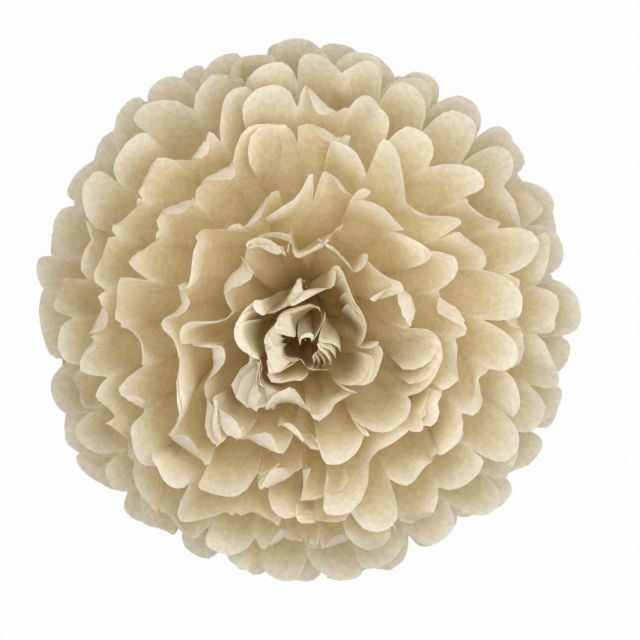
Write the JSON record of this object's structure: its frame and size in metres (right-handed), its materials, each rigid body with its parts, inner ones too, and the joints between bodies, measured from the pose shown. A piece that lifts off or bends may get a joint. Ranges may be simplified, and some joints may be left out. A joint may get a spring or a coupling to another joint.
{
  "type": "paper flower ball",
  "caption": "Round hanging decoration of pleated tissue sheets tied round the waist and opened into a ball of ruffled petals",
  "frame": {"origin": "on the surface the ball stands on, below the middle of its box", "axes": "+Z is the flower's axis, from the lower petals to the eye; +X and +Y lie in the middle plane, the wire's loop being in the YZ plane"},
  "size_m": [0.2488, 0.2496, 0.2441],
  "materials": {
    "tissue": "matte ivory tissue paper, translucent",
    "wire": "thin soft craft wire, dull brass"
  },
  "bodies": {
    "root": {"sheet_01": "tissue", "sheet_02": "tissue", "sheet_03": "tissue", "sheet_04": "tissue", "sheet_05": "tissue", "sheet_06": "tissue", "sheet_07": "tissue", "sheet_08": "tissue", "sheet_09": "tissue", "sheet_10": "tissue", "sheet_11": "tissue", "sheet_12": "tissue", "sheet_13": "tissue", "sheet_14": "tissue", "sheet_15": "tissue", "sheet_16": "tissue", "tie_wire": "wire"}
  },
  "joints": []
}
